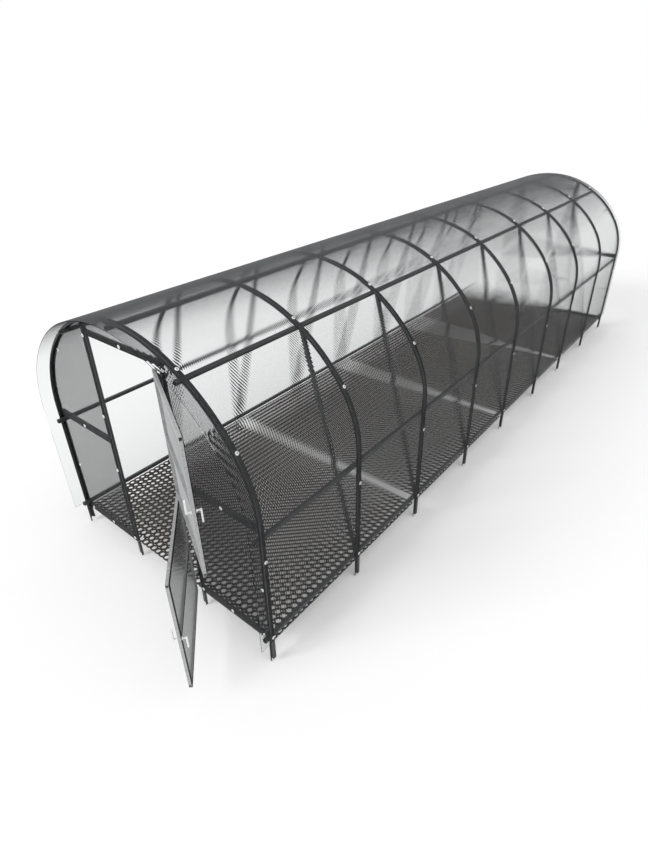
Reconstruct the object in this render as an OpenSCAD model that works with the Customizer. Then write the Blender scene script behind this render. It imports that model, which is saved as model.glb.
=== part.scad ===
// Tunnel greenhouse: nine steel hoops under twin-wall polycarbonate, with a
// stable door in the front gable. Millimetres, +Z up, feet on z = 0, +Y towards the back.

/* [House] */
// Width over the outer faces of the hoops
house_w = 2500; // [2300:10:2800]
// Height of the straight part of a hoop, from its foot
leg_h = 1290; // [1150:10:1450]
// Rise of the curved part of a hoop above its straight legs
rise = 1080; // [1000:10:1150]
// Radius of the tighter bend at each shoulder
shoulder_r = 900; // [800:10:960]
// Length of one section, which spans two bays
section_l = 2000; // [1800:10:2200]
// Length of the first bay in each section
first_bay = 1040; // [950:10:1100]
// How far the roof sheets stand past the end hoops
sheet_overhang = 120; // [60:5:160]

/* [Steel sections] */
// Wall of every steel section
steel_t = 2; // [1.2:0.1:3]
// Width of a hoop's closed crown
crown_w = 28; // [20:1:34]
// Width of one lip beside the crown
lip_w = 11; // [6:1:14]
// Depth of a hoop section
hoop_d = 22; // [15:1:26]
// Side of the square tube in rails and purlins
rail_w = 30; // [20:1:40]
// Width of a brace
brace_w = 28; // [16:1:36]
// Length of the tab that each leg pushes into the ground
foot_tab = 30; // [15:5:60]

/* [Rails] */
// Height of the base rails' centre lines
base_z = 243; // [200:1:300]
// Drop of the middle rails' centre lines below the bends
mid_below_bend = 115; // [60:5:250]
// How far purlins and rails run out past the end hoops
rail_out = 30; // [10:5:50]
// Distance of each upper purlin from the centre line
purlin_x = 668; // [550:2:750]

/* [Gables] */
// Distance of each door post's centre from the centre line
post_x = 445; // [400:5:520]
// Width of a door post
post_w = 25; // [22:1:40]
// Depth of the gable's posts and rails
post_d = 20; // [12:1:24]
// Width of the flange beside each post that takes the sheet's screws
post_flange = 22; // [12:1:30]
// Height of the lintel
lintel_h = 40; // [24:1:50]
// Drop of the lintel's centre line below the ridge
lintel_below_ridge = 186; // [150:2:220]
// Height of the gables' rails
gable_rail_h = 56; // [30:1:70]
// Gap between the side walls' middle rails and the gables' middle rails above them
gable_rail_gap = 22; // [0:2:60]

/* [Sheets] */
// Thickness of the polycarbonate
sheet_t = 4; // [4:1:10]
// Gap between neighbouring roof sheets
sheet_gap = 4; // [2:1:8]

/* [Door] */
// Gap round each leaf
leaf_gap = 6; // [5:1:10]
// Face width of the leaf's frame members
leaf_rail = 25; // [20:1:32]
// Depth of the leaf's frame
leaf_d = 20; // [16:1:26]
// Radius of a hinge pin
pin_r = 4; // [3:0.5:6]
// Running clearance of the eye on its pin
pin_clear = 0.05; // [0.02:0.01:0.1]
// Angle by which the lower leaf stands open
lower_open = 138; // [95:1:150]
// Angle by which the upper leaf stands open
upper_open = 153; // [95:1:153]
// Distance of a handle's lever from the leaf's face, over all
lever_reach = 34; // [28:1:45]
// Length of a handle's lever
lever_l = 92; // [70:1:120]

/* [Floor] */
// Thickness of the floor mats
mat_t = 22; // [16:1:30]
// Gap between floor mats
mat_gap = 95; // [20:5:140]
// Clearance of the end mats between the door posts
mat_clear = 3; // [1:1:10]

/* [Hidden] */

steel_colour = [0.28, 0.29, 0.3];
sheet_colour = [0.8, 0.82, 0.84, 0.4];
handle_colour = [0.85, 0.85, 0.85];
mat_colour = [0.06, 0.06, 0.06];

section_count = 4;
hoop_count = 2 * section_count + 1;
half_w = house_w / 2;
house_l = section_count * section_l;

// The crown arc meets each shoulder arc on one tangent
crown_r = ((half_w - shoulder_r) ^ 2 + rise ^ 2 - shoulder_r ^ 2) / (2 * (rise - shoulder_r));
crown_z = leg_h + rise - crown_r;
turn_a = atan2(crown_r - rise, half_w - shoulder_r);

hoop_w = crown_w + 2 * lip_w;
face_y = hoop_w / 2;
mid_z = leg_h - mid_below_bend;
lintel_z = leg_h + rise - lintel_below_ridge;
lintel_bottom = lintel_z - lintel_h / 2;
base_bottom = base_z - rail_w / 2;
base_top = base_z + rail_w / 2;
// The gables' base rails run to the hoops just under the side walls' base rails
gable_bottom = base_bottom - gable_rail_h;

// Front faces of a gable's posts, in line with the far wall of the hoop's hollow: the
// gable sheets lie on them, with their edges in the hollow
gable_y = crown_w / 2 - steel_t;
edge_clear = 2;
rail_clear = 1;

// Door leaves hang in the front opening, outer faces flush with the posts
open_w = 2 * post_x - post_w;
leaf_w = open_w - 2 * leaf_gap;
leaf_bottom = gable_bottom + mat_t + leaf_gap;
leaf_split = (leaf_bottom + lintel_bottom) / 2;
leaf_h = leaf_split - leaf_bottom - leaf_gap;
leaf_far = -leaf_w - leaf_gap / 2;

// The hinge axis stands in front of the posts
knuckle_t = 4;
knuckle_r = pin_r + knuckle_t;
strap_l = knuckle_r + leaf_gap;
hinge_x = open_w / 2 - leaf_gap / 2;
hinge_out = strap_l - gable_y;
hinge_rise = 140;
hinge_h = 50;
eye_gap = 0.5;
pin_top = 4;
strap_t = 4;
strap_in = knuckle_r + 12;
post_lap = post_w / 2 - 1;

handle_x = leaf_gap / 2 + leaf_w - leaf_rail / 2;
rose_r = 12;
rose_t = 4;
stem_r = 6;
lever_r = 8;
lever_t = 10;
lever_tip_r = 6;

curve_fn = 180;
round_fn = 48;

// The origin is midway along the plan as it stands, from the open lower leaf's inner lever
front_reach = hinge_out + (handle_x + lever_r) * sin(lower_open)
    - (strap_l + leaf_d + lever_reach) * cos(lower_open);
back_reach = house_l + sheet_overhang;
front_y = (front_reach - back_reach) / 2;

function hoop_y(i) = front_y + floor(i / 2) * section_l + (i % 2) * first_bay;

// Outline inside a hoop's surface, inset from its outer face
module hoop_outline(inset) {
    crown = crown_r - inset;
    translate([-(half_w - inset), 0]) square([2 * (half_w - inset), leg_h]);
    intersection() {
        translate([0, crown_z]) circle(r = crown, $fn = curve_fn);
        translate([-crown * cos(turn_a), leg_h]) square([2 * crown * cos(turn_a), rise + house_w]);
    }
    for (side = [-1, 1])
        intersection() {
            translate([side * (half_w - shoulder_r), leg_h])
                circle(r = shoulder_r - inset, $fn = curve_fn);
            translate([-house_w, leg_h]) square([2 * house_w, house_w]);
        }
}

// Strip of the outline between two insets
module hoop_band(from, to) {
    difference() {
        hoop_outline(from);
        hoop_outline(to);
    }
}

// Stands a flat outline up across the house and gives it a width along the house
module across(w) {
    rotate([90, 0, 0]) linear_extrude(w, center = true) children();
}

// Hat section: a closed crown under the sheet, open inwards between two lips.
// At the foot only the front lip runs on, as a tab for the ground.
module hoop(i) {
    color(steel_colour) translate([0, hoop_y(i), 0]) difference() {
        union() {
            across(crown_w) hoop_band(0, hoop_d);
            across(hoop_w) hoop_band(hoop_d - steel_t, hoop_d);
        }
        across(crown_w - 2 * steel_t) hoop_band(steel_t, hoop_d + 1);
        translate([-half_w - 1, lip_w - hoop_w / 2, -1])
            cube([house_w + 2, hoop_w, foot_tab + 1]);
    }
}

// Square or flat-sided tube along +Y, centred on its own section
module tube_y(length, w, d) {
    translate([0, length, 0]) rotate([90, 0, 0]) linear_extrude(length) difference() {
        square([w, d], center = true);
        square([w - 2 * steel_t, d - 2 * steel_t], center = true);
    }
}

module long_rail(x, z, tilt) {
    past = face_y + rail_out;
    color(steel_colour) translate([x, front_y - past, z]) rotate([0, tilt, 0])
        tube_y(house_l + 2 * past, rail_w, rail_w);
}

rail_x = half_w - hoop_d - rail_w / 2;
// A purlin's two outer edges just meet the curve inside the hoops
purlin_r = sqrt((crown_r - hoop_d) ^ 2 - (rail_w / 2) ^ 2) - rail_w / 2;
purlin_a = asin(purlin_x / purlin_r);
purlin_z = crown_z + purlin_r * cos(purlin_a);

module ridge_purlin() { long_rail(0, crown_z + purlin_r, 0); }
module upper_purlin(side) { long_rail(side * purlin_x, purlin_z, side * purlin_a); }
module middle_rail(side) { long_rail(side * rail_x, mid_z, 0); }
module base_rail(side) { long_rail(side * rail_x, base_z, 0); }

// Straight strut from the upper purlin down to the base rail, in the plane of its hoop
brace_foot = [half_w - hoop_d - brace_w / 2, base_top];
brace_head_a = purlin_a + (rail_w / 2 + brace_w) / purlin_r * 180 / PI;
brace_head = [(crown_r - hoop_d) * sin(brace_head_a), crown_z + (crown_r - hoop_d) * cos(brace_head_a)];

module brace_shape(w) {
    run = brace_head - brace_foot;
    lean = atan2(run[1], run[0]);
    intersection() {
        translate(brace_foot) rotate(lean)
            translate([-brace_w, -w / 2]) square([norm(run) + 2 * brace_w, w]);
        hoop_outline(hoop_d);
        translate([0, base_top]) square([half_w, leg_h + rise]);
    }
}

// Channels with their webs to the front
module braces(side) {
    color(steel_colour) mirror([side < 0 ? 1 : 0, 0, 0])
        for (i = [1 : hoop_count - 2])
            translate([0, hoop_y(i) + crown_w / 2, 0]) rotate([90, 0, 0]) difference() {
                linear_extrude(crown_w) brace_shape(brace_w);
                translate([0, 0, -1]) linear_extrude(crown_w - steel_t + 1)
                    brace_shape(brace_w - 2 * steel_t);
            }
}

// Gable pieces are drawn for the front and mirrored for the back
module at_gable(back) {
    if (back)
        translate([0, front_y + house_l, 0]) mirror([0, 1, 0]) children();
    else
        translate([0, front_y, 0]) children();
}

module post_strip(x, w, d, bottom) {
    translate([0, gable_y + d, 0]) rotate([90, 0, 0]) linear_extrude(d) intersection() {
        translate([x, bottom]) square([w, leg_h + rise]);
        hoop_outline(hoop_d);
    }
}

// Tube with a flange on its outer side behind the sheet, and a tab at its foot
module gable_post(side) {
    left = side * post_x - post_w / 2;
    color(steel_colour) difference() {
        union() {
            post_strip(left, post_w, post_d, 0);
            post_strip(side < 0 ? left - post_flange : left + post_w, post_flange, steel_t,
                gable_bottom);
        }
        translate([left + steel_t, gable_y + steel_t, -1])
            cube([post_w - 2 * steel_t, post_d - 2 * steel_t, leg_h + rise]);
        translate([left - 1, gable_y - 1, -1])
            cube([post_w - steel_t + 1, post_d + 2, foot_tab + 1]);
    }
}

module gable_bar(x0, x1, z, h, inset) {
    color(steel_colour) translate([x0, gable_y + inset, z - h / 2]) difference() {
        cube([x1 - x0, post_d, h]);
        translate([-1, steel_t, steel_t])
            cube([x1 - x0 + 2, post_d - 2 * steel_t, h - 2 * steel_t]);
    }
}

module gable_lintel() { gable_bar(-open_w / 2, open_w / 2, lintel_z, lintel_h, 0); }

// Middle and base rails on both sides, from the posts out to the hoop
module gable_rails() {
    for (side = [0, 1], bottom = [gable_bottom, mid_z + rail_w / 2 + gable_rail_gap])
        mirror([side, 0, 0])
            gable_bar(post_x + post_w / 2, half_w - hoop_d, bottom + gable_rail_h / 2,
                gable_rail_h, steel_t);
}

// Where the purlins and rails come out through the gable sheets
module rail_holes() {
    hole = rail_w + 2 * rail_clear;
    for (at = [
        [0, crown_z + purlin_r, 0], [purlin_x, purlin_z, purlin_a], [-purlin_x, purlin_z, -purlin_a],
        [rail_x, mid_z, 0], [-rail_x, mid_z, 0], [rail_x, base_z, 0], [-rail_x, base_z, 0]
    ])
        translate([at[0], at[1]]) rotate(-at[2]) square(hole, center = true);
}

module gable_sheet() {
    color(sheet_colour) translate([0, gable_y, 0]) rotate([90, 0, 0])
        linear_extrude(sheet_t) difference() {
            intersection() {
                hoop_outline(steel_t + edge_clear);
                children();
            }
            rail_holes();
        }
}

module gable_side_panel(side) {
    gable_sheet() mirror([side < 0 ? 1 : 0, 0])
        translate([post_x, gable_bottom]) square([half_w, leg_h + rise]);
}

module gable_top_panel() {
    gable_sheet() translate([sheet_gap / 2 - post_x, lintel_bottom])
        square([2 * post_x - sheet_gap, rise]);
}

module roof_sheet(n) {
    y0 = n == 1 ? front_y - sheet_overhang : hoop_y(2 * n - 2) + sheet_gap / 2;
    y1 = n == section_count ? front_y + house_l + sheet_overhang : hoop_y(2 * n) - sheet_gap / 2;
    color(sheet_colour) translate([0, y1, 0]) rotate([90, 0, 0]) linear_extrude(y1 - y0)
        difference() {
            intersection() {
                hoop_outline(-sheet_t);
                translate([-house_w, base_bottom]) square([2 * house_w, 2 * leg_h + rise]);
            }
            hoop_outline(0);
        }
}

// A leaf is drawn closed, with its hinge axis on z, and swung open by angle
module swing(angle) {
    translate([hinge_x, front_y - hinge_out, 0]) rotate(angle) children();
}

// Frame of one leaf with its middle rail, front face on y = 0. The top and bottom
// rails are tubes, open at both ends.
module leaf_ring(bottom) {
    translate([leaf_far, 0, bottom]) difference() {
        cube([leaf_w, leaf_d, leaf_h]);
        for (z = [leaf_rail, (leaf_h + leaf_rail) / 2])
            translate([leaf_rail, -1, z])
                cube([leaf_w - 2 * leaf_rail, leaf_d + 2, (leaf_h - 3 * leaf_rail) / 2]);
        for (z = [steel_t, leaf_h - leaf_rail + steel_t])
            translate([-1, steel_t, z])
                cube([leaf_w + 2, leaf_d - 2 * steel_t, leaf_rail - 2 * steel_t]);
    }
}

module leaf_frame(bottom) {
    color(steel_colour) difference() {
        union() {
            translate([0, strap_l, 0]) leaf_ring(bottom);
            for (z = [bottom + hinge_rise, bottom + leaf_h - hinge_rise - hinge_h])
                translate([0, 0, z]) leaf_eye();
        }
        for (z = [bottom + hinge_rise, bottom + leaf_h - hinge_rise - hinge_h])
            translate([0, 0, z]) cylinder(r = pin_r + pin_clear, h = hinge_h + pin_top, $fn = round_fn);
    }
}

// Upper half of a hinge: an eye with a strap back to the leaf's stile
module leaf_eye() {
    translate([0, 0, hinge_h / 2 + eye_gap]) {
        cylinder(r = knuckle_r, h = hinge_h / 2, $fn = round_fn);
        translate([-strap_in, -strap_t / 2, 0]) cube([strap_in, strap_t, hinge_h / 2]);
        translate([-strap_in, 0, 0]) cube([strap_t, strap_l, hinge_h / 2]);
    }
}

// Lower half of a hinge: a knuckle and pin on a strap from the post's face
module post_pin() {
    cylinder(r = knuckle_r, h = hinge_h / 2, $fn = round_fn);
    cylinder(r = pin_r, h = hinge_h + pin_top, $fn = round_fn);
    translate([0, -strap_t / 2, 0]) cube([leaf_gap / 2 + post_lap, strap_t, hinge_h / 2]);
    translate([leaf_gap / 2 + post_lap - strap_t, 0, 0]) cube([strap_t, strap_l, hinge_h / 2]);
    translate([leaf_gap / 2, strap_l - strap_t, 0]) cube([post_lap, strap_t, hinge_h / 2]);
}

module hinge_pins() {
    color(steel_colour) translate([hinge_x, -hinge_out, 0])
        for (leaf = [leaf_bottom, leaf_split])
            for (z = [leaf + hinge_rise, leaf + leaf_h - hinge_rise - hinge_h])
                translate([0, 0, z]) post_pin();
}

module leaf_sheet(bottom) {
    translate([leaf_far, -sheet_t, bottom]) cube([leaf_w - leaf_rail, sheet_t, leaf_h]);
}

module leaf_panel(bottom) {
    color(sheet_colour) translate([0, strap_l, 0]) leaf_sheet(bottom);
}

// The back opening is closed by the same two leaves, shut
module back_door() {
    color(steel_colour) translate([hinge_x, gable_y, 0]) {
        leaf_ring(leaf_bottom);
        leaf_ring(leaf_split);
    }
}

module back_door_panels() {
    color(sheet_colour) translate([hinge_x, gable_y, 0]) {
        leaf_sheet(leaf_bottom);
        leaf_sheet(leaf_split);
    }
}

module leaf_handles(bottom) {
    color(handle_colour) translate([-handle_x, strap_l, bottom + leaf_h / 2])
        for (out = [-1, 1])
            translate([0, out < 0 ? -sheet_t : leaf_d, 0]) lever(out);
}

// Rose, stem and lever: the outer lever hangs down and the inner one stands up
module lever(out) {
    rotate([out * -90, 0, 0]) {
        cylinder(r = rose_r, h = rose_t, $fn = round_fn);
        cylinder(r = stem_r, h = lever_reach, $fn = round_fn);
        translate([0, 0, lever_reach - lever_t]) linear_extrude(lever_t) lever_outline();
    }
}

module lever_outline() {
    circle(r = lever_r, $fn = round_fn);
    translate([0, lever_tip_r - lever_l]) circle(r = lever_tip_r, $fn = round_fn);
    polygon([
        [-lever_r, 0], [-lever_tip_r, lever_tip_r - lever_l],
        [lever_tip_r, lever_tip_r - lever_l], [lever_r, 0]
    ]);
}

// The end mats start behind the gables' base rails and reach on between the door posts
module floor_mat(n) {
    inset = gable_y + steel_t + post_d;
    y0 = n == 1 ? front_y + inset : hoop_y(2 * n - 2) + mat_gap / 2;
    y1 = n == section_count ? front_y + house_l - inset : hoop_y(2 * n) - mat_gap / 2;
    w = 2 * (half_w - hoop_d);
    color(mat_colour) {
        translate([-w / 2, y0, gable_bottom]) cube([w, y1 - y0, mat_t]);
        if (n == 1) at_gable(false) threshold();
        if (n == section_count) at_gable(true) threshold();
    }
}

module threshold() {
    w = open_w - 2 * mat_clear;
    translate([-w / 2, gable_y, gable_bottom]) cube([w, 2 * post_d, mat_t]);
}

hoop(0);  // hoop_1
hoop(1);  // hoop_2
hoop(2);  // hoop_3
hoop(3);  // hoop_4
hoop(4);  // hoop_5
hoop(5);  // hoop_6
hoop(6);  // hoop_7
hoop(7);  // hoop_8
hoop(8);  // hoop_9
braces(-1);  // braces_left
braces(1);  // braces_right
ridge_purlin();
upper_purlin(-1);  // upper_purlin_left
upper_purlin(1);  // upper_purlin_right
middle_rail(-1);  // middle_rail_left
middle_rail(1);  // middle_rail_right
base_rail(-1);  // base_rail_left
base_rail(1);  // base_rail_right
at_gable(false) gable_post(-1);  // front_post_left
at_gable(false) gable_post(1);  // front_post_right
at_gable(false) gable_lintel();  // front_lintel
at_gable(false) gable_rails();  // front_rails
at_gable(false) hinge_pins();  // front_hinge_pins
at_gable(false) gable_side_panel(-1);  // front_panel_left
at_gable(false) gable_side_panel(1);  // front_panel_right
at_gable(false) gable_top_panel();  // front_panel_top
at_gable(true) {  // back_posts
    gable_post(-1);
    gable_post(1);
}
at_gable(true) gable_lintel();  // back_lintel
at_gable(true) gable_rails();  // back_rails
at_gable(true) {  // back_panels
    gable_side_panel(-1);
    gable_side_panel(1);
    gable_top_panel();
}
at_gable(true) back_door();
at_gable(true) back_door_panels();
roof_sheet(1);  // roof_sheet_1
roof_sheet(2);  // roof_sheet_2
roof_sheet(3);  // roof_sheet_3
roof_sheet(4);  // roof_sheet_4
swing(lower_open) leaf_frame(leaf_bottom);  // lower_leaf_frame
swing(lower_open) leaf_panel(leaf_bottom);  // lower_leaf_panel
swing(lower_open) leaf_handles(leaf_bottom);  // lower_leaf_handles
swing(upper_open) leaf_frame(leaf_split);  // upper_leaf_frame
swing(upper_open) leaf_panel(leaf_split);  // upper_leaf_panel
swing(upper_open) leaf_handles(leaf_split);  // upper_leaf_handles
floor_mat(1);  // floor_mat_1
floor_mat(2);  // floor_mat_2
floor_mat(3);  // floor_mat_3
floor_mat(4);  // floor_mat_4
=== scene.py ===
"""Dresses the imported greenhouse: steel, twin-wall sheet, washers, ring mats, lights and camera.

Lengths are in metres, with +Z up.
"""

import math

import bmesh
import bpy
from mathutils import Matrix, Vector
from mathutils.bvhtree import BVHTree


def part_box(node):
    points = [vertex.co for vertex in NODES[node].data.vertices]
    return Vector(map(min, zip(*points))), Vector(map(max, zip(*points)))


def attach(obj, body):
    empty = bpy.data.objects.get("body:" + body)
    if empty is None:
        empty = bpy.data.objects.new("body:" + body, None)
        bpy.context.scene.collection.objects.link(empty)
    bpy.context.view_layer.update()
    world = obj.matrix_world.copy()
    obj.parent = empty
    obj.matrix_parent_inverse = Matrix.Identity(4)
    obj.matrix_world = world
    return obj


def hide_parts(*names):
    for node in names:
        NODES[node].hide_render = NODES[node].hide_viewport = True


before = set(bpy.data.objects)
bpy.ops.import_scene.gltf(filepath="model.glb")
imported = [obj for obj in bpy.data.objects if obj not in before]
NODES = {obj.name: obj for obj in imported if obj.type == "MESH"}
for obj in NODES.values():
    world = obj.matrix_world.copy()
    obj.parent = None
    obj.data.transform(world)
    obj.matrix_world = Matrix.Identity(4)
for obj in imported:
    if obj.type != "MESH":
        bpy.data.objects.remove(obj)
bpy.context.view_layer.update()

SECTIONS = 4
HOOPS = [f"hoop_{i}" for i in range(1, 2 * SECTIONS + 2)]
SHEETS = [f"roof_sheet_{i}" for i in range(1, SECTIONS + 1)]
MATS = [f"floor_mat_{i}" for i in range(1, SECTIONS + 1)]

# Camera, in metres and degrees, set against the front hoop
CAMERA_AHEAD = 1.69
CAMERA_RIGHT = 3.174
CAMERA_UP = 3.627
CAMERA_YAW = -40.12
CAMERA_PITCH = 30.28
CAMERA_ROLL = -1.49
FOCAL_PX = 543.9
SHIFT = (0.0038, -0.028)
SENSOR_MM = 36.0
IMAGE_H = 864


def span(node):
    low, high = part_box(node)
    return Vector(low), Vector(high)


def middle_y(node):
    low, high = span(node)
    return (low.y + high.y) / 2


HOOP_YS = [middle_y(n) for n in HOOPS]
FRONT_Y = HOOP_YS[0]


# ---------- materials ----------


class Nodes:
    """A material's node tree, with short calls for the nodes used here."""

    def __init__(self, name):
        self.material = bpy.data.materials.new(name)
        self.material.use_nodes = True
        self.tree = self.material.node_tree
        self.tree.nodes.clear()
        self.out = self.add("ShaderNodeOutputMaterial")
        self.skin = self.add("ShaderNodeBsdfPrincipled")
        self.link(self.skin.outputs["BSDF"], self.out.inputs["Surface"])

    def add(self, kind, **settings):
        node = self.tree.nodes.new(kind)
        for key, value in settings.items():
            setattr(node, key, value)
        return node

    def link(self, source, target):
        self.tree.links.new(source, target)

    def feed(self, socket, value):
        if hasattr(value, "is_output"):
            self.link(value, socket)
        else:
            socket.default_value = value

    def math(self, operation, a, b=0.0):
        node = self.add("ShaderNodeMath", operation=operation)
        self.feed(node.inputs[0], a)
        self.feed(node.inputs[1], b)
        return node.outputs[0]

    def place(self):
        return self.add("ShaderNodeTexCoord").outputs["Object"]

    def axis(self, place, name):
        parts = self.add("ShaderNodeSeparateXYZ")
        self.link(place, parts.inputs[0])
        return parts.outputs[name]

    def noise(self, place, scale, detail=3.0, rough=0.5):
        node = self.add("ShaderNodeTexNoise")
        self.link(place, node.inputs["Vector"])
        node.inputs["Scale"].default_value = scale
        node.inputs["Detail"].default_value = detail
        node.inputs["Roughness"].default_value = rough
        return node.outputs["Fac"]

    def ramp(self, factor, stops):
        node = self.add("ShaderNodeValToRGB")
        self.link(factor, node.inputs["Fac"])
        elements = node.color_ramp.elements
        while len(elements) < len(stops):
            elements.new(0.5)
        for element, (position, colour) in zip(elements, stops):
            element.position = position
            element.color = (*colour, 1.0)
        return node.outputs["Color"]

    def remap(self, value, low, high, to_low, to_high):
        node = self.add("ShaderNodeMapRange")
        self.feed(node.inputs["Value"], value)
        node.inputs["From Min"].default_value = low
        node.inputs["From Max"].default_value = high
        node.inputs["To Min"].default_value = to_low
        node.inputs["To Max"].default_value = to_high
        return node.outputs["Result"]

    def bump(self, height, strength, distance):
        node = self.add("ShaderNodeBump")
        self.link(height, node.inputs["Height"])
        node.inputs["Strength"].default_value = strength
        node.inputs["Distance"].default_value = distance
        self.link(node.outputs["Normal"], self.skin.inputs["Normal"])

    def set(self, **values):
        for key, value in values.items():
            self.skin.inputs[key.replace("_", " ")].default_value = value


# Each steel's darker and lighter tone
DARK_STEEL = ((0.045, 0.046, 0.048), (0.065, 0.066, 0.068))
# A lighter copy of the dark steel: painted light, the tone of the lit faces of the door leaves' frames
PAINTED_LIT_STEEL = ((0.34, 0.345, 0.35), (0.46, 0.465, 0.47))
SCREW_TONES = ((0.26, 0.265, 0.27), (0.36, 0.365, 0.37))
SPANGLE_SCALE = 55.0
GRAIN_SCALE = 240.0


def speckle(tones):
    """Ramp stops that run from the first tone to the second over a noise."""
    return [(0.35, tones[0]), (0.65, tones[1])]


def steel_material(name, tones, metal, painted_shade_side=None):
    """Galvanised sheet steel: faint spangle, uneven shine, fine grain.

    With a side given, only faces turned that way have these tones, painted as shade, and the rest get a
    lighter tone painted as lit.
    """
    m = Nodes(name)
    place = m.place()
    spangle = m.noise(place, SPANGLE_SCALE, 4.0, 0.6)
    colour = m.ramp(spangle, speckle(tones))
    # Painted light: faces turned to the given side keep the dark tones as painted shade, and the others
    # take a lighter tone painted as lit
    if painted_shade_side:
        facing = m.add("ShaderNodeVectorMath", operation="DOT_PRODUCT")
        m.link(m.add("ShaderNodeTexCoord").outputs["Normal"], facing.inputs[0])
        facing.inputs[1].default_value = painted_shade_side
        tone = m.add("ShaderNodeMix", data_type="RGBA")
        m.link(m.remap(facing.outputs["Value"], 0.85, 0.95, 0.0, 1.0), tone.inputs["Factor"])
        m.link(m.ramp(spangle, speckle(PAINTED_LIT_STEEL)), tone.inputs["A"])
        m.link(colour, tone.inputs["B"])
        colour = tone.outputs["Result"]
    m.link(colour, m.skin.inputs["Base Color"])
    m.link(m.remap(spangle, 0.3, 0.7, 0.36, 0.52), m.skin.inputs["Roughness"])
    m.bump(m.noise(place, GRAIN_SCALE, 2.0), 0.08, 0.002)
    m.set(Metallic=metal, Specular_IOR_Level=0.3)
    return m.material


RIB_PITCH = 0.016
ROOF_TILT = 0.05  # slope of the skin beside a rib, in radians
GABLE_TILT = 0.03
SHEET_IOR = 1.3
SHEET_TINT = (0.985, 0.99, 0.99, 1.0)
LAMP_TINT = (0.9, 0.9, 0.9, 1.0)  # what a sheet lets through of the lamps' light
RIB_LOSS = 0.05  # what a rib adds to the loss

# How much of what lies behind a sheet is lost, against 1 - cos of the angle of view
WALL_LOSS = [(0.0, 0.03), (0.5, 0.1), (0.8, 0.2), (0.95, 0.6), (1.0, 0.9)]
CROWN_LOSS = [
    (0.0, 0.03),
    (0.27, 0.06),
    (0.42, 0.16),
    (0.48, 0.26),
    (0.55, 0.45),
    (0.6, 0.57),
    (0.66, 0.7),
    (0.72, 0.82),
    (0.8, 0.89),
    (0.9, 0.95),
]
GABLE_LOSS = [(0.0, 0.08), (0.3, 0.2), (0.5, 0.45), (0.6, 0.6), (0.88, 0.64), (0.93, 0.95)]

# Colour of the film that hides it, and of the gables' film at a grazing view, which turns lighter there
# as a painted reflection
ROOF_FILM = (0.064, 0.066, 0.069)
GABLE_FILM = (0.02, 0.02, 0.021)
GABLE_PAINTED_REFLECTION = (0.36, 0.365, 0.37)
PAINTED_REFLECTION_FROM, PAINTED_REFLECTION_FULL = 0.88, 0.93


def grey_ramp(m, factor, stops):
    return m.ramp(factor, [(at, (level,) * 3) for at, level in stops])


def bent_normal(m, geometry, across, rib_axis, rib_tilt):
    """The surface's normal, rocked to and fro along rib_axis by the ribs."""
    lean = m.add("ShaderNodeVectorTransform", vector_type="VECTOR")
    lean.convert_from, lean.convert_to = "OBJECT", "WORLD"
    lean.inputs[0].default_value = [float(rib_axis == a) for a in "XYZ"]
    step = m.add("ShaderNodeVectorMath", operation="SCALE")
    m.link(lean.outputs[0], step.inputs[0])
    m.link(m.math("MULTIPLY", across, 2 * rib_tilt), step.inputs["Scale"])
    bent = m.add("ShaderNodeVectorMath", operation="ADD")
    m.link(geometry.outputs["Normal"], bent.inputs[0])
    m.link(step.outputs[0], bent.inputs[1])
    unit = m.add("ShaderNodeVectorMath", operation="NORMALIZE")
    m.link(bent.outputs[0], unit.inputs[0])
    return unit.outputs[0]


def mixed(m, factor, first, second):
    mix = m.add("ShaderNodeMixShader")
    m.link(factor, mix.inputs[0])
    m.link(first, mix.inputs[1])
    m.link(second, mix.inputs[2])
    return mix.outputs[0]


def sheet_material(name, rib_axis, rib_tilt, loss_of, film, painted_reflection=None):
    """Twin-wall polycarbonate: a clear skin that each rib bends like a weak lens, greyer at a slant."""
    m = Nodes(name)
    geometry = m.add("ShaderNodeNewGeometry")
    outside = m.math("SUBTRACT", 1.0, geometry.outputs["Backfacing"])
    phase = m.math("FRACT", m.math("DIVIDE", m.axis(m.place(), rib_axis), RIB_PITCH))
    across = m.math("SUBTRACT", phase, 0.5)
    rib = m.remap(m.math("ABSOLUTE", across), 0.4, 0.47, 0.0, RIB_LOSS)

    clear = m.add("ShaderNodeBsdfRefraction")
    clear.inputs["Color"].default_value = SHEET_TINT
    clear.inputs["Roughness"].default_value = 0.0
    clear.inputs["IOR"].default_value = SHEET_IOR
    rocking = m.math("MULTIPLY", across, outside)
    m.link(bent_normal(m, geometry, rocking, rib_axis, rib_tilt), clear.inputs["Normal"])

    weight = m.add("ShaderNodeLayerWeight")
    weight.inputs["Blend"].default_value = 0.5
    slant = weight.outputs["Facing"]
    lost = m.math("MULTIPLY", m.math("ADD", loss_of(m, slant), rib), outside)
    # Painted reflection: the gables' film colour turns lighter at a grazing view
    if painted_reflection:
        stops = [(PAINTED_REFLECTION_FROM, film), (PAINTED_REFLECTION_FULL, painted_reflection)]
        m.link(m.ramp(slant, stops), m.skin.inputs["Base Color"])
    else:
        m.set(Base_Color=(*film, 1.0))
    m.set(Roughness=0.5, Specular_IOR_Level=0.03)
    body = mixed(m, lost, clear.outputs[0], m.skin.outputs["BSDF"])

    open_skin = m.add("ShaderNodeBsdfTransparent")
    open_skin.inputs["Color"].default_value = LAMP_TINT
    path = m.add("ShaderNodeLightPath")
    lamp = m.math("MAXIMUM", path.outputs["Is Shadow Ray"], path.outputs["Is Diffuse Ray"])
    m.link(mixed(m, lamp, body, open_skin.outputs[0]), m.out.inputs["Surface"])
    return m.material


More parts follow.
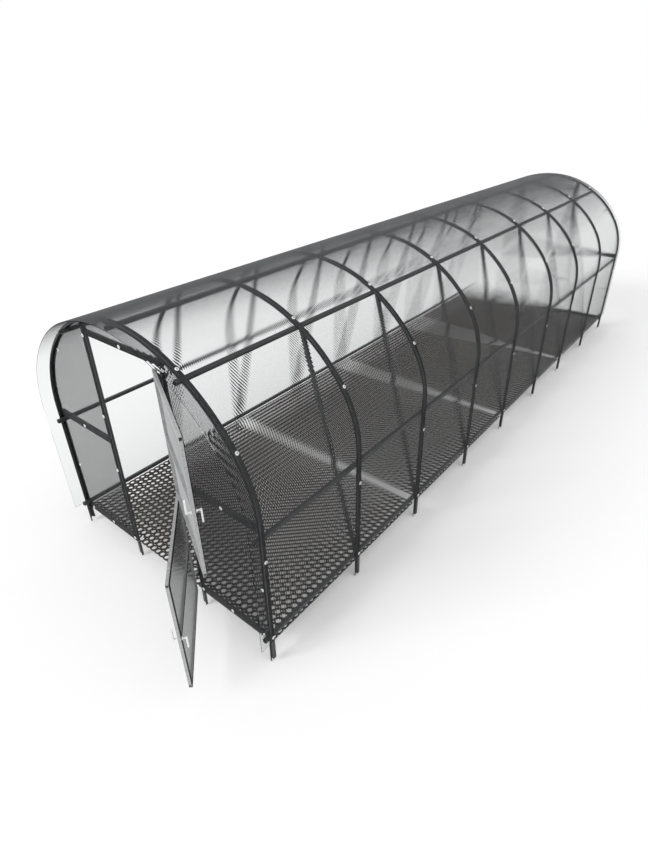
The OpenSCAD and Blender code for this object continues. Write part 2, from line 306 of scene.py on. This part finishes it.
def roof_loss(m, slant):
    """Walls stay clear at a slant, and the crown greys."""
    upward = m.axis(m.add("ShaderNodeTexCoord").outputs["Normal"], "Z")
    crown = m.remap(m.math("ABSOLUTE", upward), 0.6, 0.98, 0.0, 1.0)
    wall = grey_ramp(m, slant, WALL_LOSS)
    more = m.math("SUBTRACT", grey_ramp(m, slant, CROWN_LOSS), wall)
    return m.math("ADD", wall, m.math("MULTIPLY", more, crown))


def gable_loss(m, slant):
    return grey_ramp(m, slant, GABLE_LOSS)


def plain_material(name, colour, roughness, grain, depth):
    """Plastic or rubber with fine specks, a little darker and rougher by turns."""
    m = Nodes(name)
    place = m.place()
    speck = m.noise(place, grain, 3.0)
    darker = tuple(c * 0.82 for c in colour)
    m.link(m.ramp(speck, speckle((darker, colour))), m.skin.inputs["Base Color"])
    uneven = m.remap(speck, 0.3, 0.7, roughness - 0.05, roughness + 0.08)
    m.link(uneven, m.skin.inputs["Roughness"])
    m.bump(speck, 0.2, depth)
    return m.material


STEEL_METALLIC = 0.3
STEEL = steel_material("galvanised_steel", DARK_STEEL, STEEL_METALLIC)
SCREW_STEEL = steel_material("screw_steel", SCREW_TONES, 0.4)
ROOF_SHEET = sheet_material("roof_sheet_polycarbonate", "Y", ROOF_TILT, roof_loss, ROOF_FILM)
GABLE_SHEET = sheet_material(
    "gable_sheet_polycarbonate", "X", GABLE_TILT, gable_loss, GABLE_FILM, GABLE_PAINTED_REFLECTION
)
WHITE_PLASTIC = plain_material("white_washer_plastic", (0.86, 0.86, 0.85), 0.4, 90.0, 0.0004)
RUBBER = plain_material("black_ring_rubber", (0.028, 0.023, 0.02), 0.6, 160.0, 0.0008)


def shaded_and_lit_leaf_steel(node):
    """Steel of a door leaf's frame: a lighter tone painted as lit, and dark painted shade on the outer
    faces under the sheet.
    """
    low, high = span(node)
    outward = Vector((high.y - low.y, high.x - low.x, 0)).normalized()
    return steel_material(node + "_steel", DARK_STEEL, STEEL_METALLIC, outward)


def finish_of(node):
    if node.startswith("roof_sheet"):
        return ROOF_SHEET
    if "panel" in node:
        return GABLE_SHEET
    if "handle" in node:
        return WHITE_PLASTIC
    if node.startswith("floor_mat"):
        return RUBBER
    if "leaf_frame" in node:
        return shaded_and_lit_leaf_steel(node)
    return STEEL


for name, obj in NODES.items():
    obj.data.materials.clear()
    obj.data.materials.append(finish_of(name))


# ---------- meshes ----------


def mesh_object(name, verts, faces, material, body, smooth=False):
    mesh = bpy.data.meshes.new(name)
    mesh.from_pydata(verts, [], faces)
    mesh.update()
    if smooth:
        mesh.shade_smooth()
    obj = bpy.data.objects.new(name, mesh)
    bpy.context.scene.collection.objects.link(obj)
    mesh.materials.append(material)
    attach(obj, body)
    return obj


class Batch:
    """Many copies of small shapes gathered in one mesh."""

    def __init__(self):
        self.verts, self.faces = [], []

    def add(self, shape, matrix):
        verts, faces = shape
        base = len(self.verts)
        self.verts += [matrix @ v for v in verts]
        self.faces += [tuple(base + i for i in f) for f in faces]


def tree_of(node):
    mesh = NODES[node].data
    return BVHTree.FromPolygons(
        [v.co for v in mesh.vertices], [tuple(p.vertices) for p in mesh.polygons]
    )


DOOR_HALF = span("front_lintel")[1].x  # the lintel runs from post to post
RING_PITCH = 0.06  # rings sit on a square grid and touch
RING_HOLE = 0.043
RING_T = 0.01
RING_SIDES = 12
RING_CORNER = 0.61  # how far a ring reaches at its four corners, as a share of the pitch
POST_CLEAR = 0.003


def ring_cell(pitch_x, pitch_y):
    """One rubber ring under z = 0: round inside, flat where it meets its four neighbours."""
    flat = 0.5 / math.cos(math.pi / RING_SIDES)
    verts, faces = [], []
    for k in range(RING_SIDES):
        angle = 2 * math.pi * (k + 0.5) / RING_SIDES
        across = Vector((math.cos(angle), math.sin(angle), 0))
        reach = RING_CORNER if k % 3 == 1 else flat
        inner = across * RING_HOLE / 2
        outer = Vector((across.x * pitch_x, across.y * pitch_y, 0)) * reach
        down = Vector((0, 0, -RING_T))
        verts += [inner + down, outer + down, outer, inner]
    for k in range(RING_SIDES):
        a, b = 4 * k, 4 * ((k + 1) % RING_SIDES)
        faces += [(a + j, b + j, b + (j + 1) % 4, a + (j + 1) % 4) for j in range(4)]
    return verts, faces


def cut_off(shape, place, normal):
    """The part of a closed shape behind a plane, closed again where it is cut."""
    bm = bmesh.new()
    corners = [bm.verts.new(v) for v in shape[0]]
    for face in shape[1]:
        bm.faces.new([corners[i] for i in face])
    whole = bm.verts[:] + bm.edges[:] + bm.faces[:]
    bmesh.ops.bisect_plane(bm, geom=whole, plane_co=place, plane_no=normal, clear_outer=True)
    rim = [e for e in bm.edges if e.is_boundary]
    bmesh.ops.edgeloop_fill(bm, edges=rim)
    bm.verts.index_update()
    left = [v.co.copy() for v in bm.verts], [tuple(v.index for v in f.verts) for f in bm.faces]
    bm.free()
    return left


def fitted_ring(ring, place, gable):
    """A ring of a gable's first row: cut at the door post or at the gable's rail."""
    rails = span(gable + "_rails")
    half = RING_PITCH / 2
    edge = DOOR_HALF - POST_CLEAR
    if abs(place.x) + half < edge:
        return ring
    if abs(place.x) - half < edge:
        side = math.copysign(1, place.x)
        return cut_off(ring, Vector((side * edge - place.x, 0, 0)), Vector((side, 0, 0)))
    if gable == "front":
        return cut_off(ring, Vector((0, rails[1].y - place.y, 0)), Vector((0, -1, 0)))
    return cut_off(ring, Vector((0, rails[0].y - place.y, 0)), Vector((0, 1, 0)))


def ring_mat(node):
    """Rubber rings on a square grid that fills the mat, cut round the gables' frames."""
    low, high = span(node)
    columns = round((high.x - low.x) / RING_PITCH)
    rows = round((high.y - low.y) / RING_PITCH)
    pitch_x, pitch_y = (high.x - low.x) / columns, (high.y - low.y) / rows
    ring = ring_cell(pitch_x, pitch_y)
    gables = {MATS[0]: (0, "front"), MATS[-1]: (rows - 1, "back")}
    cut_row, gable = gables.get(node, (None, None))
    batch = Batch()
    for row in range(rows):
        for column in range(columns):
            place = Vector((low.x + (column + 0.5) * pitch_x, low.y + (row + 0.5) * pitch_y, high.z))
            shape = fitted_ring(ring, place, gable) if row == cut_row else ring
            batch.add(shape, Matrix.Translation(place))
    obj = mesh_object(node + "_rings", batch.verts, batch.faces, RUBBER, "house")
    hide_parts(node)


for node in MATS:
    ring_mat(node)


# Fasteners: a white cup washer with a steel screw head on it
WASHER_R = 0.014
WASHER_T = 0.003
WASHER_SIDES = 20
HEAD_R = 0.006
HEAD_T = 0.002
HEAD_SIDES = 6
ROOF_WASHER_ZS = (2.212, 1.797, 1.005, 0.262)
POST_FLANGE = 0.022
PANEL_WASHERS = ((0.948, 1.911), (1.178, 0.69))  # on the hoops' inner flanges
POST_WASHER_ZS = (2.15, 1.47, 0.95)
LOW_RAIL_WASHER_XS = (0.81, 1.15)
MIDDLE_RAIL_WASHER_X = 0.85


def gable_washers():
    """Where one half of a gable has its washers, as (x, z)."""
    rails, lintel = span("front_rails"), span("front_lintel")
    half_rail = (span("base_rail_left")[0].z - rails[0].z) / 2
    low_z, middle_z = rails[0].z + half_rail, rails[1].z - half_rail
    post_x = span("front_post_right")[1].x - POST_FLANGE / 2
    places = [(post_x, z) for z in POST_WASHER_ZS + (low_z,)]
    places += [(x, low_z) for x in LOW_RAIL_WASHER_XS]
    places += [(MIDDLE_RAIL_WASHER_X, middle_z), (0.0, (lintel[0].z + lintel[1].z) / 2)]
    return places + list(PANEL_WASHERS)


def faceted(profile, sides):
    """Verts and faces of a domed shape: a profile from the rim to its last point, closed on top."""
    verts = [
        Vector((r * math.cos(2 * math.pi * k / sides), r * math.sin(2 * math.pi * k / sides), z))
        for r, z in profile
        for k in range(sides)
    ]
    faces = []
    for ring in range(len(profile) - 1):
        for k in range(sides):
            a, b = ring * sides + k, ring * sides + (k + 1) % sides
            faces.append((a, b, b + sides, a + sides))
    faces.append(tuple(range((len(profile) - 1) * sides, len(profile) * sides)))
    faces.append(tuple(reversed(range(sides))))
    return verts, faces


CUP = faceted(
    [(WASHER_R, 0), (WASHER_R, WASHER_T / 3), (WASHER_R * 0.8, WASHER_T), (HEAD_R, WASHER_T)],
    WASHER_SIDES,
)
HEAD = faceted([(HEAD_R, 0), (HEAD_R, HEAD_T * 0.75), (HEAD_R * 0.7, HEAD_T)], HEAD_SIDES)


def standing(place, normal):
    """The turn and shift that stand a shape on a surface."""
    return Matrix.Translation(place) @ normal.to_track_quat("Z", "Y").to_matrix().to_4x4()


def surface_at(tree, start, ahead):
    """Where a ray first meets the mesh, and the face's normal turned towards the ray's start."""
    place, normal, _, _ = tree.ray_cast(Vector(start), Vector(ahead))
    if place is None:
        return None
    return place, -normal if normal.dot(Vector(ahead)) > 0 else normal


def sheet_over(y):
    """The roof sheet that lies over this place along the house."""
    for sheet in SHEETS:
        low, high = span(sheet)
        if low.y <= y <= high.y:
            return sheet
    return None


def fasteners(name, spots):
    """One piece of washers and one of the screw heads on them."""
    cups, heads = Batch(), Batch()
    for place, normal in spots:
        seat = standing(place, normal)
        cups.add(CUP, seat)
        heads.add(HEAD, seat @ Matrix.Translation((0, 0, WASHER_T * 0.6)))
    cup = mesh_object(name + "_washers", cups.verts, cups.faces, WHITE_PLASTIC, "house", True)
    head = mesh_object(name + "_screws", heads.verts, heads.faces, SCREW_STEEL, "house")


# Rays start well outside the house
RAY_X = 2.0
RAY_Y = 9.0
PAST_JOINT = 0.02  # from a hoop's middle to well inside the next sheet
SHEET_EDGE = 0.01  # rays keep this far from a sheet's ends


def roof_spots():
    """Where the roof sheets' washers are, over each hoop."""
    spots = []
    for y in HOOP_YS:
        sheet = sheet_over(y + PAST_JOINT)
        tree = tree_of(sheet)
        low, high = span(sheet)
        look_y = min(max(y, low.y + SHEET_EDGE), high.y - SHEET_EDGE)
        for side in (-1, 1):
            for z in ROOF_WASHER_ZS:
                hit = surface_at(tree, (side * RAY_X, look_y, z), (-side, 0, 0))
                if hit:
                    spots.append((Vector((hit[0].x, y, hit[0].z)), hit[1]))
    return spots


def gable_spots(panels, outward):
    """Where these panels' washers are, on the side that faces out."""
    spots = []
    for node in panels:
        tree = tree_of(node)
        for x, z in sorted({(side * x, z) for side in (-1, 1) for x, z in gable_washers()}):
            hit = surface_at(tree, (x, RAY_Y * outward, z), (0, -outward, 0))
            if hit and abs(hit[1].y) > 0.9:
                spots.append(hit)
    return spots


fasteners("roof", roof_spots())
fasteners("front_gable", gable_spots([n for n in NODES if n.startswith("front_panel")], -1))
fasteners("back_gable", gable_spots([n for n in NODES if n.startswith("back_panel")], 1))


# ---------- stage ----------


def light_path_mix(m, seen, unseen):
    """seen where the camera, a reflection or a view through glass meets it, else unseen."""
    path = m.add("ShaderNodeLightPath")
    looks = m.math("MAXIMUM", path.outputs["Is Camera Ray"], path.outputs["Is Glossy Ray"])
    looks = m.math("MAXIMUM", looks, path.outputs["Is Transmission Ray"])
    mix = m.add("ShaderNodeMixShader")
    m.link(looks, mix.inputs[0])
    m.link(unseen, mix.inputs[1])
    m.link(seen, mix.inputs[2])
    return mix.outputs[0]


FLOOR_GLOW = 0.05  # what brings the lit floor to plain white
FLOOR_HALF = 60.0
FLOOR_DROP = 0.0005  # keeps the floor just under the feet
WORLD_LEVEL = 0.5


def floor_plane():
    m = Nodes("studio_floor")
    m.set(Base_Color=(0.96, 0.96, 0.96, 1.0), Roughness=1.0, Specular_IOR_Level=0.0)
    glow = m.add("ShaderNodeEmission")
    glow.inputs["Color"].default_value = (1, 1, 1, 1)
    glow.inputs["Strength"].default_value = FLOOR_GLOW
    both = m.add("ShaderNodeAddShader")
    m.link(m.skin.outputs["BSDF"], both.inputs[0])
    m.link(glow.outputs[0], both.inputs[1])
    m.link(light_path_mix(m, both.outputs[0], m.skin.outputs["BSDF"]), m.out.inputs["Surface"])
    mesh = bpy.data.meshes.new("studio_floor")
    half = FLOOR_HALF
    corners = [(-half, -half, 0), (half, -half, 0), (half, half, 0), (-half, half, 0)]
    mesh.from_pydata(corners, [], [(0, 1, 2, 3)])
    mesh.materials.append(m.material)
    obj = bpy.data.objects.new("studio_floor", mesh)
    bpy.context.scene.collection.objects.link(obj)
    obj.location.z = -FLOOR_DROP


def world_light(strength):
    """White behind and in reflections and sheets, and weaker as light on the house."""
    world = bpy.data.worlds.new("studio")
    bpy.context.scene.world = world
    world.use_nodes = True
    tree = world.node_tree
    back = tree.nodes["Background"]
    back.inputs["Color"].default_value = (1, 1, 1, 1)
    path = tree.nodes.new("ShaderNodeLightPath")
    looks = path.outputs["Is Camera Ray"]
    for name in ("Is Glossy Ray", "Is Transmission Ray"):
        either = tree.nodes.new("ShaderNodeMath")
        either.operation = "MAXIMUM"
        tree.links.new(looks, either.inputs[0])
        tree.links.new(path.outputs[name], either.inputs[1])
        looks = either.outputs[0]
    level = tree.nodes.new("ShaderNodeMapRange")
    level.inputs["To Min"].default_value = strength
    level.inputs["To Max"].default_value = 1.0
    tree.links.new(looks, level.inputs["Value"])
    tree.links.new(level.outputs["Result"], back.inputs["Strength"])


def soft_sun(name, toward, strength, width):
    """Even soft light from the direction given."""
    data = bpy.data.lights.new(name, "SUN")
    data.energy = strength
    data.angle = math.radians(width)
    obj = bpy.data.objects.new(name, data)
    bpy.context.scene.collection.objects.link(obj)
    obj.rotation_euler = Vector(toward).to_track_quat("Z", "Y").to_euler()


def camera():
    """The photograph's camera; FRONT_Y ties it to the front hoop."""
    data = bpy.data.cameras.new("camera")
    data.sensor_width = SENSOR_MM
    data.lens = FOCAL_PX * SENSOR_MM / IMAGE_H
    data.shift_x, data.shift_y = SHIFT
    data.clip_end = 500.0
    yaw, pitch, roll = (math.radians(a) for a in (CAMERA_YAW, CAMERA_PITCH, CAMERA_ROLL))
    ahead = Vector(
        (math.sin(yaw) * math.cos(pitch), math.cos(yaw) * math.cos(pitch), -math.sin(pitch))
    )
    level = Vector((math.cos(yaw), -math.sin(yaw), 0))
    upright = level.cross(ahead)
    right = math.cos(roll) * level + math.sin(roll) * upright
    up = -math.sin(roll) * level + math.cos(roll) * upright
    obj = bpy.data.objects.new("camera", data)
    bpy.context.scene.collection.objects.link(obj)
    turn = Matrix((right, up, -ahead)).transposed()
    place = Vector((CAMERA_RIGHT, FRONT_Y - CAMERA_AHEAD, CAMERA_UP))
    obj.matrix_world = Matrix.Translation(place) @ turn.to_4x4()
    bpy.context.scene.camera = obj


floor_plane()
world_light(WORLD_LEVEL)
soft_sun("key", (-0.35, -0.85, 0.5), 2.2, 30)
soft_sun("fill", (0.6, -0.1, 0.8), 0.8, 60)
camera()
bpy.context.scene.view_settings.view_transform = "Standard"
